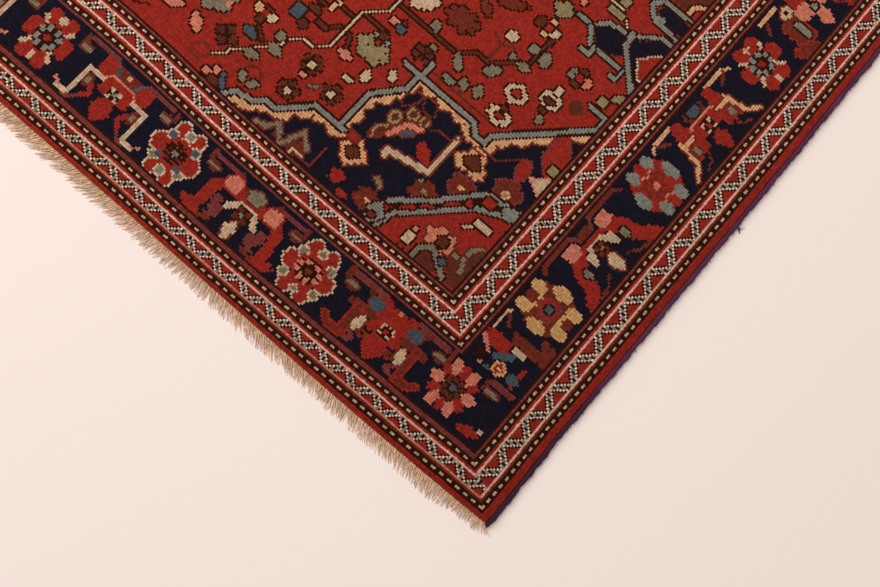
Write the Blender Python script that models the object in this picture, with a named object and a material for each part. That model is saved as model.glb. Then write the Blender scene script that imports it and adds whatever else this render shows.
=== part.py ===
"""Hand-knotted rug lying flat: a knotted body, two overcast edge cords and two fringed ends.

Frame: metres, +X across the rug, +Y along its warps, +Z up, origin under the middle of the
whole rug on the surface it lies on. The cloth is handmade, so its outline wavers by a few
millimetres: every waver is measured inwards from the nominal size.
"""
import math
import random

import bmesh
import bpy

MM = 0.001

# Driving dimensions
RUG_WIDTH = 1310 * MM          # over both edge cords
RUG_LENGTH = 2030 * MM         # over both edge cords' ends, without fringe
RUG_THICKNESS = 6.5 * MM       # foundation and worn pile together
PILE_EDGE_ROUND = 1.2 * MM     # where the pile's top edge falls away
CORD_WIDTH = 7.0 * MM          # overcast edge cord, across
CORD_HEIGHT = 6.2 * MM         # overcast edge cord, up
CORD_FOOT_SHARE = 0.3          # upright part of its sides, as a share of the height
CORD_ARC_STEPS = 6             # flats around its rounded top
GAP = 0.3 * MM                 # clearance between neighbouring pieces
STRIP_WIDTH = 2.2 * MM         # woven strip that holds the warp ends
STRIP_HEIGHT = 1.8 * MM
FRINGE_REACH = 16.0 * MM       # longest lock, past the nominal end
LOCKS_PER_END = 140
LOCK_ROOT_SHARE = 0.86         # lock width at its root, as a share of the spacing
LOCK_TIP_SHARE = 0.52          # and at its tip
LOCK_TIP_HEIGHT = 1.2 * MM
LOCK_LENGTH_LOSS = 5.5 * MM    # the shortest locks stop this far before the longest
LOCK_LEAN = 3.2 * MM           # how far a lock's tip drifts sideways at most
LOCK_STEPS = 3                 # stretches along each lock
LEAN_SPREAD = 2.5              # locks over which one lock's lean dies away

# How far the outline wavers, inwards from the nominal size
SIDE_WAVER = 0.9 * MM          # long sides, half of the swing
SIDE_WAVES = 4.5               # swings along a long side
END_WAVER = 0.5 * MM           # ends, half of the swing
END_WAVES = 2.5                # swings along an end
SIDE_PHASES = {1: 0.6, -1: 2.4}   # where each side's wave starts, radians: right, left
END_PHASES = {-1: 1.1, 1: 3.0}    # and each end's: near, far
CORNER_TUCK = 3.8 * MM         # the ends draw in towards the corners
CORNER_TUCK_REACH = 80 * MM    # over this distance

SIDE_STATIONS = 40             # straight stretches along a long side
END_STATIONS = 28              # straight stretches along an end

# Finishes: colour, roughness
PILE_RED = ((0.28, 0.035, 0.022), 0.95)
CORD_PURPLE = ((0.045, 0.020, 0.060), 0.85)
WARP_COTTON = ((0.60, 0.47, 0.34), 0.90)


def remove_everything():
    for thing in list(bpy.data.objects):
        bpy.data.objects.remove(thing, do_unlink=True)


def make_material(name, finish):
    colour, roughness = finish
    material = bpy.data.materials.new(name)
    material.use_nodes = True
    shader = material.node_tree.nodes["Principled BSDF"]
    shader.inputs["Base Color"].default_value = (*colour, 1.0)
    shader.inputs["Roughness"].default_value = roughness
    shader.inputs["Metallic"].default_value = 0.0
    return material


def add_object(name, bm, material):
    """Turn a finished bmesh into a named object that lies at the origin."""
    bmesh.ops.recalc_face_normals(bm, faces=bm.faces)
    mesh = bpy.data.meshes.new(name)
    bm.to_mesh(mesh)
    bm.free()
    mesh.materials.append(material)
    thing = bpy.data.objects.new(name, mesh)
    bpy.context.scene.collection.objects.link(thing)
    return thing


def side_inset(y, side):
    """How far the outer edge of a long side lies inside the nominal width, at y."""
    turn = 2.0 * math.pi * SIDE_WAVES * y / RUG_LENGTH + SIDE_PHASES[side]
    return SIDE_WAVER * (1.0 - math.cos(turn))


def end_inset(x, end):
    """How far the knotted body's end lies inside the nominal length, at x."""
    turn = 2.0 * math.pi * END_WAVES * x / RUG_WIDTH + END_PHASES[end]
    wave = END_WAVER * (1.0 - math.cos(turn))
    from_side = RUG_WIDTH / 2 - abs(x)
    tuck = CORNER_TUCK * math.exp(-from_side / CORNER_TUCK_REACH)
    return wave + tuck


def side_edge(y, side, inwards=0.0):
    """x of a long side's outer edge, moved inwards."""
    return side * (RUG_WIDTH / 2 - side_inset(y, side) - inwards)


def end_edge(x, end, outwards=0.0):
    """y of the knotted body's end, moved outwards."""
    return end * (RUG_LENGTH / 2 - end_inset(x, end) + outwards)


def evenly(low, high, stretches):
    return [low + (high - low) * i / stretches for i in range(stretches + 1)]


SIDE_YS = evenly(-RUG_LENGTH / 2, RUG_LENGTH / 2, SIDE_STATIONS)


def end_points(end):
    """Corner to corner along one end of the knotted body, from right to left."""
    corners = [side_edge(end * RUG_LENGTH / 2, side, CORD_WIDTH + GAP) for side in (1, -1)]
    return [(x, end_edge(x, end)) for x in evenly(*corners, END_STATIONS)]


def side_points(side):
    """Near to far along one long side of the knotted body, without its corners."""
    return [(side_edge(y, side, CORD_WIDTH + GAP), y) for y in SIDE_YS[1:-1]]


def body_outline():
    """The knotted body seen from above, anticlockwise from its near right corner."""
    return side_points(1) + end_points(1) + side_points(-1)[::-1] + end_points(-1)[::-1]


def build_body(material):
    """A flat slab: the outline is extruded and its top edge is rounded off."""
    bm = bmesh.new()
    base = bm.faces.new([bm.verts.new((x, y, 0.0)) for x, y in body_outline()])
    grown = bmesh.ops.extrude_face_region(bm, geom=[base])
    top_verts = [g for g in grown["geom"] if isinstance(g, bmesh.types.BMVert)]
    bmesh.ops.translate(bm, vec=(0.0, 0.0, RUG_THICKNESS), verts=top_verts)
    rim = [e for e in bm.edges if all(v in top_verts for v in e.verts)]
    bmesh.ops.bevel(bm, geom=rim, offset=PILE_EDGE_ROUND, segments=1, profile=0.5, affect="EDGES")
    return add_object("rug_body", bm, material)


def cord_profile():
    """Half-round section of the overcast edge: flat below, rounded above. (across, up)"""
    half = CORD_WIDTH / 2
    foot = CORD_FOOT_SHARE * CORD_HEIGHT
    arc = [(half * math.cos(turn), foot + (CORD_HEIGHT - foot) * math.sin(turn))
           for turn in evenly(math.pi, 0.0, CORD_ARC_STEPS)]
    return [(-half, 0.0)] + arc + [(half, 0.0)]


def build_cord(name, side, material):
    """The overcast edge cord: its section is carried along the wavering long side."""
    bm = bmesh.new()
    rings = []
    for y in SIDE_YS:
        middle = side_edge(y, side, CORD_WIDTH / 2)
        rings.append([bm.verts.new((middle + across, y, up)) for across, up in cord_profile()])
    count = len(rings[0])
    for ring, after in zip(rings, rings[1:]):
        for i in range(count):
            j = (i + 1) % count
            bm.faces.new((ring[i], ring[j], after[j], after[i]))
    bm.faces.new(rings[0])
    bm.faces.new(rings[-1])
    cord = add_object(name, bm, material)
    cord.data.shade_smooth()
    cord.data.set_sharp_from_angle(angle=math.radians(50))
    return cord


def lock_leans(count, seed):
    """One value from -1 to 1 for each lock, neighbours alike, the largest at full size."""
    rng = random.Random(seed)
    raw = [rng.uniform(-1.0, 1.0) for _ in range(count)]
    reach = round(2 * LEAN_SPREAD)
    window = range(-reach, reach + 1)
    weights = [math.exp(-(k / LEAN_SPREAD) ** 2) for k in window]
    values = []
    for i in range(count):
        near = [raw[min(max(i + k, 0), count - 1)] for k in window]
        values.append(sum(w * v for w, v in zip(weights, near)))
    largest = max(abs(v) for v in values)
    return [v / largest for v in values]


def strip_divisions(reach_x, pitch):
    """x of the strip's divisions: its start, both sides of each lock's root, its end."""
    root = LOCK_ROOT_SHARE * pitch / 2
    middles = [-reach_x + (i + 0.5) * pitch for i in range(LOCKS_PER_END)]
    return [-reach_x] + [m + half for m in middles for half in (-root, root)] + [reach_x]


def build_strip(bm, end, xs):
    """The woven strip along the body's end. Returns the faces of its outer side."""
    columns = []
    for x in xs:
        inner = end_edge(x, end, GAP)
        outer = end_edge(x, end, GAP + STRIP_WIDTH)
        section = ((inner, 0.0), (outer, 0.0), (outer, STRIP_HEIGHT), (inner, STRIP_HEIGHT))
        columns.append([bm.verts.new((x, y, z)) for y, z in section])
    outer_faces = []
    for a, b in zip(columns, columns[1:]):
        around = [bm.faces.new((a[i], a[i - 1], b[i - 1], b[i])) for i in range(4)]
        outer_faces.append(around[2])
    bm.faces.new(columns[0])
    bm.faces.new(columns[-1])
    bmesh.ops.recalc_face_normals(bm, faces=bm.faces)
    return outer_faces


def draw_out_lock(bm, face, middle, pitch, tip, drift):
    """Extrude a patch of the strip in steps into a lock that tapers and rests on the floor."""
    start = face.calc_center_median().y
    for step in range(1, LOCK_STEPS + 1):
        share = step / LOCK_STEPS
        width = pitch * (LOCK_ROOT_SHARE + (LOCK_TIP_SHARE - LOCK_ROOT_SHARE) * share)
        height = STRIP_HEIGHT + (LOCK_TIP_HEIGHT - STRIP_HEIGHT) * share
        x = middle + drift * share ** 1.5
        face = bmesh.ops.extrude_discrete_faces(bm, faces=[face])["faces"][0]
        centre = face.calc_center_median()
        corners = [(v, v.co.x < centre.x, v.co.z < centre.z) for v in face.verts]
        for v, on_left, on_floor in corners:
            v.co.x = x - width / 2 if on_left else x + width / 2
            v.co.y = start + (tip - start) * share
            v.co.z = 0.0 if on_floor else height


def build_fringe(name, end, seed, material):
    """The strip at one end of the rug, with every other patch of its outer side a lock."""
    reach_x = RUG_WIDTH / 2 - SIDE_WAVER * 2 - CORD_WIDTH - GAP
    pitch = 2 * reach_x / LOCKS_PER_END
    rng = random.Random(seed)
    leans = lock_leans(LOCKS_PER_END, seed + 1)
    losses = [rng.random() for _ in range(LOCKS_PER_END)]
    bm = bmesh.new()
    patches = build_strip(bm, end, strip_divisions(reach_x, pitch))[1::2]
    for i, patch in enumerate(patches):
        middle = -reach_x + (i + 0.5) * pitch
        loss = LOCK_LENGTH_LOSS * (losses[i] - min(losses))
        tip = end * (RUG_LENGTH / 2 + FRINGE_REACH - loss)
        draw_out_lock(bm, patch, middle, pitch, tip, LOCK_LEAN * leans[i])
    return add_object(name, bm, material)


def main():
    remove_everything()
    pile = make_material("pile_wool", PILE_RED)
    cord_wool = make_material("overcast_wool", CORD_PURPLE)
    cotton = make_material("warp_cotton", WARP_COTTON)
    build_body(pile)
    build_cord("selvedge_right", 1, cord_wool)
    build_cord("selvedge_left", -1, cord_wool)
    build_fringe("fringe_front", -1, 11, cotton)
    build_fringe("fringe_back", 1, 23, cotton)


main()
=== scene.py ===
"""Looks of the hand-knotted rug: knotted pile, overcast sides, fringed ends and a plain stage.

The pile's pattern is worked knot by knot from a weaver's chart. The chart is drawn for one
quarter of the rug, in millimetres from its near right corner, and mirrored to the others.
"""

import math

import bpy
import numpy as np
from bpy.props import FloatProperty, FloatVectorProperty, IntProperty
from mathutils import Matrix


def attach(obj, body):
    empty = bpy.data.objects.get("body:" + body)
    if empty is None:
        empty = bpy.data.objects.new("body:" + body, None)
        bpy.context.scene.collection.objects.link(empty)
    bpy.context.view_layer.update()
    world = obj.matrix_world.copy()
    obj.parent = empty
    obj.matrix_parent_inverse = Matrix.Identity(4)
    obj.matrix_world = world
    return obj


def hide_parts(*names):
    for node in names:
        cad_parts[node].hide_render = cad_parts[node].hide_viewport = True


bl_info = {
    "name": "Knotted rug",
    "version": (1, 0, 0),
    "blender": (4, 5, 0),
    "location": "View3D > Sidebar > Rug",
    "description": "Pile, overcast sides and fringe of a hand-knotted rug",
    "category": "Object",
}

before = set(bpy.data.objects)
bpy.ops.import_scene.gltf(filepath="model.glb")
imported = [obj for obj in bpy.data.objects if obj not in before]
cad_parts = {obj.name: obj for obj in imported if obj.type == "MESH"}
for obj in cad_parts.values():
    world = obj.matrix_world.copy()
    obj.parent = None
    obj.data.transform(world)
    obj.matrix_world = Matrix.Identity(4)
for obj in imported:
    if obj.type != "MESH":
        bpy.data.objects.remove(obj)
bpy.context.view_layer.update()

MM = 0.001
TAU = 2.0 * math.pi

# Outline of the rug, as the frame has it
RUG_WIDTH, RUG_LENGTH = 1310 * MM, 2030 * MM
THICKNESS = 6.5 * MM
CORD_WIDTH, CORD_HEIGHT, CORD_FOOT = 7.0 * MM, 6.2 * MM, 1.86 * MM
GAP = 0.3 * MM
SIDE_WAVER, SIDE_WAVES, SIDE_PHASES = 0.9 * MM, 4.5, {1: 0.6, -1: 2.4}
END_WAVER, END_WAVES, END_PHASES = 0.5 * MM, 2.5, {-1: 1.1, 1: 3.0}
CORNER_TUCK, CORNER_TUCK_REACH = 3.8 * MM, 80 * MM
# The outermost tufts lean over the cord and hide its inner part; their edge is ragged
PILE_OVER_CORD, RAGGED = 1.3 * MM, 0.2 * MM
FRINGE_OVER_CORD = 1.0 * MM    # the fringe runs on this far beside the body

# Knots of the pile. A face of the mesh holds a block of BLOCK_X by BLOCK_Y knots
KNOTS_X, KNOTS_Y = 520, 810
BLOCK_X, BLOCK_Y = 4, 3
BLOCKS_X, BLOCKS_Y = KNOTS_X // BLOCK_X, KNOTS_Y // BLOCK_Y
HALF_X, HALF_Y = KNOTS_X // 2, KNOTS_Y // 2
# The chart's own millimetres: to the left of the near right corner, and up from it
CHART_X, CHART_Y = 650.8, 1009.7

# Rows where the weave's height is known, and that height in the chart's millimetres
ROW_MARKS = (0, 6.5, 12.5, 17, 20, 24, 53.5, 59.5, 66, HALF_Y)
ROW_HEIGHTS = (-5.3, 9.6, 22.3, 33.1, 39.0, 50.0, 121.0, 135.2, 149.6, CHART_Y)
# and columns where its distance from the right is known
COLUMN_MARKS = (0, 3, 6, 8, 14, 21, 30, 48, 52, 55, 62, HALF_X)
COLUMN_PLACES = (2.8, 9.5, 16.9, 22.0, 36.8, 54.5, 77.6, 123.7, 133.5, 140.4, 157.3, CHART_X)
COLUMN_PITCH = (COLUMN_PLACES[-1] - COLUMN_PLACES[-2]) / (HALF_X - COLUMN_MARKS[-2])
ROW_PITCH = (ROW_HEIGHTS[-1] - ROW_HEIGHTS[-2]) / (HALF_Y - ROW_MARKS[-2])

# How far a band runs off its own line: places along it, and millimetres there
DRIFT_PLACES = (20, 70, 120, 170, 215, 260, 310, 360, 410, 455, 500, 550, 600, 650)
DRIFT_OUTER = (4.7, 4.4, 2.3, 2.0, 0.8, -0.1, -0.4, -1.1, -0.8, -0.3, 0.6, 0.2, 0.3, 0.3)
DRIFT_INNER = (2.0, 2.0, 2.1, 1.9, 1.5, 0.3, -1.2, -1.7, -1.2, -0.7, 0.7, 3.0, 4.0, 4.0)
SIDE_DRIFT_PLACES, SIDE_DRIFT = (0, 125, 600, 1000), (1.1, 1.1, -3.2, 0.0)
# Rows or columns between which each drift grows and fades, and its share there
OUTER_ROWS, OUTER_SHARES = (0, 2, 6.5, 20, 53.5), (0, 0.5, 1, 1.25, 0)
INNER_ROWS, INNER_SHARES = (12.5, 53.5, 66, 130), (0, 1, 1, 0)
SIDE_COLUMNS, SIDE_SHARES = (14.5, 54.5, 69, 150), (0, 1, 1, 0)
# The share of the drift in the parts out of sight: near end's left, far end, left side
NEAR_LEFT_SHARE, FAR_SHARE, LEFT_SHARE = 0.8, -0.5, 0.5
# Rows and columns, from the edge, that take up its waver, and columns that lap over the cord
WAVER_ROWS, WAVER_COLUMNS, LAP_COLUMNS = 6.5, 14, 3
# How far a long side swings out: places along it, and millimetres there
SWING_PLACES = (0, 35, 110, 180, 250, 330, 400, 470, 575, 650, 2020)
SWING = (1.2, 1.2, -0.6, 0.9, 2.1, 2.0, 1.3, 0.4, -0.6, 0.0, 0.0)

DYES = ("navy", "blue", "grey", "sage", "olive", "red", "brick", "wine", "pink", "camel",
        "ochre", "cream", "blush", "brown", "dark", "white")
DYE = {name: i for i, name in enumerate(DYES)}
APART = 1.0                    # how much more painted hollow shade and dome highlight white knots get than others, so they stand apart

# Borders, from the outside: first column, first row, dye. A dash row alternates two dyes
BANDS = (
    (0, 0, "red"), (3, 2, "dark"), (4, 3, "dash"), (5, 4, "dark"), (6, 5, "brick"),
    (7, 6, "line"), (8, 7, "zigzag"), (14, 12, "line"), (15, 13, "red"), (16, 14, "dark"),
    (17, 15, "dash"), (18, 16, "dark"), (19, 17, "wine"), (20, 19, "dark"), (21, 20, "navy"),
    (48, 48, "dark"), (49, 48, "wine"), (50, 49, "dark"), (51, 50, "dash"), (52, 51, "dark"),
    (53, 52, "red"), (54, 53, "line"), (55, 54, "zigzag"), (62, 59, "line"),
    (63, 60, "red"), (64, 61, "dark"), (65, 62, "dash"), (66, 63, "dark"),
    (67, 64, "wine"), (68, 65, "dark"), (69, 66, "red"),
)
FIRST_LINE = BANDS[5]          # its outermost row is pink
MAIN_BORDER = ((21, 20), (48, 48))
FIELD_START = (69, 66)
DASH = 4                       # knots from one dash to the next
# Knots from one turn of a zigzag to the next along the side and the end, and where it starts
OUTER_ZIGZAG, INNER_ZIGZAG, ZIGZAG_STARTS = (16, 14), (14, 16), (3, 5)

# Charts of the motifs, built of plain shapes. A row is: kind, dye, dye of the outline if it has
# one, then the numbers of one shape or of several, parted by semicolons.
# disc, box, diamond: centre, half sizes.  leaf: the same and its turn in degrees.
# line: width, then its points.  thread: points of a line one knot thick.  area: corners.
# flower, petals: centre, half sizes, how many petals, depth of their lobes, turn as a share of
# a petal, the last three as in PLAIN if they aren't given; petals are parted, one dye for each
# in turn, with its reach if that is shorter. One number for two half sizes means both.
# A border's motif is drawn along the border and inwards from the border's middle, one half.
PLAIN = (6, 0.2, 0.5)
PALMETTE_A = """
line wine 7 26,30 59,30
line brick 5 40,28 31,20; 6 66,32 66,22
disc brick 57,18 9,5.5
line sage 4 52,18.5 62,18.5
leaf red 14,23 14,6 50
disc red 0,12 21,17
box red 0,2 20,9
leaf red 0,-16 17,13 90
box blue wine 25,18 6.5,5.5
line brick 9 20,6 46,6
line brick red 7 37,5 37,-25; 5 35,-29 50,-28 59,-21
leaf cream brick 27,-8 11,5 100
disc brick 17,-14 5
disc dark 18,-14 2
line wine 4 32,-17 21,-25
disc wine 27,-28 5,3
diamond pink 0,25.5 4
box dark 0,2.7 8.2,7
disc cream 5.5,7 2; 5.5,-2 2
disc ochre 0,9 1.6,1.4; 7.5,2.5 1.4,1.6
disc red 0,2.5 3,2.6
"""
PALMETTE_B = """
line wine 7 27,28.5 58,28.5
line brick 5 62,31 62,22; 5 26,30 13,18
disc brick 55,18 9,5.5
line sage 4 50,18 60,18
line red 11 0,12 32,15; 12 31,15 41,5 43,-22
leaf red 46,-27 15,7 12
flower pink red 26,17 10,9.5 4 0.2 0.5
flower sage brick 0,21 10,8 5 0.2 0
line cream 7 0,5 10,5 18,-5
box dark 0,-2.2 9
disc brown 4.8,2.3 3.6; 4.8,-6.5 3.6
disc grey 0,-2 2.6
leaf cream brick 0,-22 13,5.5 90
disc cream 0,-20 8,4
line wine 4 36,-9 20,-10 20,-20 32,-24
disc wine 29,-4 5.5,4.5; 26,-15 6,5
line brick 5 22,-26 34,-30
"""
PALMETTE_C = """
line wine 5 23,31 56,31
line brick 5 61,31 61,22
disc brick 55,19 8,6; 30,-4 6.5,8
line sage 4.5 50,19 58,19
box brick 0,22 15,7
line blue 4 19,29 11,19
diamond camel 0,23.7 4
box red 24,19 8,9; 0,5 19,10
leaf red 0,-17 16,11 90
line pink 2.5 0,15.3 14,15.3 20,9.5
disc sage 30,-4 2.6,4
line red 5 24,-6 20,-14 26,-21
line wine 4 28,-24 33,-30 42,-30
line cream 5 20,6 38.5,6 38.5,-27 50,-27
line pink 3 50,-26 57,-21
box dark 0,1 7.2,6.6
disc cream 4.2,4.6 2.4; 4.2,-3 2.4
disc grey 0,1 2.6
"""
ROSETTE_PINK = """
petals red:0.9/pink 0,3 26.5,32 12 0.18 0
petals brown dark 0,3 13.5,15 8 0.2 0.5
disc blue 0,3 3.8
"""
ROSETTE_SAGE = """
disc red cream 9.6,21.6 8,9.5; 21.5,-1 8.5,9.5; 9.5,-23.5 8,9
disc sage cream 17.5,12 4.5; 19,-16.5 4
disc red 0,-1 18,19
disc sage cream 0,22 3.6; 0,-23 3
disc dark 0,-1 15,12.5
disc pink 6,7.5 4,3; 11.5,1.8 4,2.6; 11.5,-5 4,2.6; 4.4,-10 2.6,4
disc brick 0,-1 3.5
"""
ROSETTE_BLUE = """
disc red cream 10,22.5 6.5,8.5; 21.5,-1 7,10; 9.7,-25 7,8.5
disc sage cream 16.5,-15.5 4
disc blue cream 15,13 4.5
disc red 0,-1 17,18
disc blue 14,12 3.6,4; 12.5,-11.5 3.6
disc grey cream 0,22.3 4,4.5; 0,-23.5 3.5,4
petals brick dark 0,-1 13 8 0.2 0.5
disc grey dark 0,-1 3.4
"""
ROSETTE_RING = """
disc red 10,24.5 8.5,7.5; 21.5,1 7,10.5; 9.5,-21.5 8.5,9; 0,1 20
line cream 4.5 10.5,10.5 16.5,18; 4.5 10.5,-8 17.5,-17.5; 3.5 0,19.5 0,27; 3.5 0,23.5 3,23.5; \
    4.5 0,-19.5 0,-27
disc dark 0,1 15
disc grey 4.7,10.5 3.4; 10.7,5 3.4; 10.2,-3.5 3.4; 4.7,-9 3.4
disc red 0,1 4.2
"""
ROSETTE_OCHRE = """
disc brick 0,1 27,29
disc ochre 22,0 7,12; 12.5,-23 7.5,9; 12,23.5 7,9
line ochre 4 8,-17 0,-14.5; 4 8,17 0,13
disc brick 0,-24 6; 0,24 6
petals red wine 0,1 14 8 0.16 0.5
disc blue dark 0,1 4
"""
ROSETTE_GREY = """
disc red 0,0 28,30; 0,-24 5.5,7; 0,25 5.5,7
disc grey 23,0 6.5,11.5; 12,-23 6.5,9; 11.5,24 6,8.5
line pink 3 6,-17 0,-13.5; 3 6,17 0,12.5
petals red brick 0,0 15 8 0.16 0.5
disc pink 0,0 4.2
"""
SIDE_A = """
line camel 3.5 30,31 50,31 56,28
line brick 4 50,27 40,20
box red 21,19 8,15
line pink 4.5 18,34 7,19
box dark 0,25 6,5
box brick 35,-12 6,23
leaf brick 44,-29 16,8 60
box cream 25,-6 3.5,8
line blue 8 8,10 18,-3
leaf blue 0,-17 10,6 90
line red 5 6,-20 14,-22
disc camel dark 0,0 7.5
disc red 0,0 5
disc camel 0,0 2
"""
SIDE_B = """
line brick 4 18,32 56,32 62,26; 3 42,-32 28,-31 16,-22
line wine 4.5 17,34 8,21
box brick 0,24 9,5
box red 0,13 20,4
line red 17 26,12 34,0 38,-16
leaf red 47,-26 18,8 140
petals pink 25,20 11,9 4 0.2 0.5
disc sage dark 30,-6 4,6.5
disc navy 30,-23 3.5,4.5
line cream 6 0,8 10,8 18,-6
box cream 16,1 4,7
box dark 0,0 8.2,8.6
disc brick 4,5 2.8; 4,-4 2.8
disc sage 0,0.5 2
leaf cream brick 0,-19 12,7 90
"""
SIDE_C = """
line camel 3.5 30,30 58,30 64,25
line brick 4 57,27 46,19; 3 24,-20 30,-27 38,-30
box brick 0,22 14,7
box blue dark 0,23.5 7,5
box red 27,19 7,10; 26,0 11,17; 0,4 18,10
leaf red 0,-20 14,9 90
line pink 2.5 0,13.5 15,13.5 21,8
line camel brick 4.5 21,5.5 38,5 41,-18 55,-29
line camel 3 38,4 38,11
disc navy 31,-23 3,4
disc sage brick 30,-9 3.6,5.5
box dark 0,0.5 8.2,8.6
disc cream 5,5.5 2.6; 5,-4.5 2.6
disc red 0,0.5 3
"""
SIDE_D = """
line camel 5 34,30 60,29
line brick 4 52,25 60,15
box red 0,20 19,10
box brick red 34,-6 11,17
leaf brick red 44,-28 16,7 25
petals pink 13,2 12,11 4 0.2 0.5
flower cream brick 28,17 8,7 6 0.15 0
disc dark 28,17 3.5,3
line grey dark 6 30,-1 30,-18
leaf pink 0,-18 14,8 90
disc dark 0,-2 6.5
disc grey 0,-2 4
"""
BUDS = """
leaf red 72,50 13,6 170
disc cream 63,57 2.6
line wine 6 84,106 60,107
line brick 5 88,104 84,96
disc brick 79,96 12,4.5
line sage 4 84,96 72,95
"""

# Motif, where along the border its middle lies: near end, then right side
END_MOTIFS = (
    (PALMETTE_A, 197), (PALMETTE_B, 383.5), (PALMETTE_C, 561), (ROSETTE_PINK, 110.6),
    (ROSETTE_SAGE, 295.6), (ROSETTE_BLUE, 475), (ROSETTE_RING, 650.8),
)
SIDE_MOTIFS = (
    (SIDE_A, 121), (SIDE_B, 288.5), (SIDE_C, 469), (SIDE_D, 655), (PALMETTE_A, 830),
    (PALMETTE_B, CHART_Y), (ROSETTE_OCHRE, 201.5), (ROSETTE_GREY, 380), (ROSETTE_RING, 562.6),
    (ROSETTE_SAGE, 741), (ROSETTE_PINK, 920),
)
END_MIDDLE, SIDE_MIDDLE = 72.0, 88.5   # middles of the two borders, from the rug's edges
BORDER_TURN = 112              # height where the end's motifs stop and the side's start
MOTIF_REACH = 75               # half the length of border that a motif may fill
# How far a motif's rim wavers to and fro, and the half size below which it stays even
RIM_TEETH, EVEN_BELOW = 0.9, 14
# Outline of parted petals: half its width between them, its width at their rim
PETAL_GAP, PETAL_RIM = 1.3, 2.2

# Corner ground: the line that parts it from the field, from the end border to the side one
CORNER_LINE = ((486, 146), (474, 163), (457, 164), (446, 175), (433, 176), (404.5, 206.5),
               (374.5, 206.5), (374.5, 251), (350, 281), (350, 303), (275, 303), (266, 292),
               (252, 292), (251, 303), (175, 382), (173, 399))
CORNER_BACK = ((0, 399), (0, 0), (489, 0))     # and round the rug's corner to its start
CORNER_TWIGS = (((374.5, 206.5), (367.5, 206.5)), ((369, 303), (350, 303)),
                ((347, 303), (347, 320)), ((196, 399), (171, 399)))
LINE_HALF, LINE_EDGE = 2.6, 5.0        # half widths of that line, and with its outline
# The camel band beside it: width, its scallops' depth, and from one to the next
CAMEL_WIDTH, SCALLOP_DEPTH, SCALLOP_PITCH = 7.0, 6.0, 21.0
CORNER_CHART = """
leaf navy brick 338,277 12,5 110; 318,283 11,6 40
thread brick 367,180 367,154 382,154
disc brick 391,159 11,9
disc brown 395,164 4; 417,154 3
line sage brick 4.5 440,152 428,155 420,167 409,153; 4.5 406,150 395,177 381,164; \
    4 309,190 300,185
line cream brick 4.5 393,149 393,156 381,156
petals red 341,165 9,8 5 0.2 0
disc red 325,154 8,3.5
petals brick 303,166 14,13 6 0.2 0; 264,209 16,14 6 0.2 0
disc camel 301,165.5 3,2.2
disc wine 309,162 3.5; 268,202 4
diamond camel brick 345,194 18,16
box red brick 355,206 6,4
diamond brown dark 345,194 9,8
line olive brick 3.5 346,219 345,231 337,241; 3.5 343,219 332,236
disc brown brick 340,229 2.6,5
disc olive brick 338,251 7.5,7; 326,266 6.5; 312,267 6,5.5
disc brown 338,251 4,4.5; 326,266 4,4.5; 312,267 3.6,4
line pink brick 6 331,234 322,254 309,258
line blue wine 5.5 320.5,243.5 314.5,248.5
leaf red 291,241 15,7 35
line cream brick 6.5 320,214 321,220 274,229 274,276
thread brick 300,265 293,271 281,271 274,278; 240,285 231,286 209,308
flower camel brick 247,267 20,17 3 0.5 0
flower brown dark 247,268 10,8 3 0.4 0
line red 2.5 256,281 243,281
disc olive 264,210 3.4,3
disc sage 274,217 2.6
flower brick wine 239,240 14,12 4 0.25 0.5
disc camel 239,239 4,2.6
leaf red wine 186,331 29,13 75; 203,297 14,7 85
leaf navy 189,304 7,4 160
box olive dark 178,317 6,5.5
area cream pink 174,309 174,287 192,295
flower brick wine 200,267 16,14 5 0.25 0
disc olive camel 199.5,264 3.4
area red 284,150 284,178 204,248 173,256 173,150
area brown 173,206 200,174 190,152 173,152
disc brown 215,157 14,10
area dark 285,180 252,208 214,252 173,258 173,252 214,232 254,190 272,174
line grey dark 5.5 285,180 252,208 214,252 173,258; 5 278,152 272,174 254,190 214,232 173,252
disc grey dark 182,251 10,7; 287,162 9,12
disc brick dark 288,157 4.5,3
disc red dark 281,173 2.6,3; 221.5,232 4
line red dark 4 271,183 262,190; 4 256,198 247,204; 3 239,215 229,225
box red dark 206,246 5.5,4.5
box cream dark 194,221 10,4; 245,163 4.5,7
leaf cream dark 207,212 5,2.5 145
disc pink dark 244.5,175 2.6
flower pink brown 218,182 18,14 6 0.25 0.3
disc brown dark 215,183 6
line sage dark 5 230,152 230,163 219,172 191,153
disc blue dark 203,166 4.6,3
line sage brown 5 180,204 187,196 187,183 198,180; 5 187,182 181,169
"""
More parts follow.
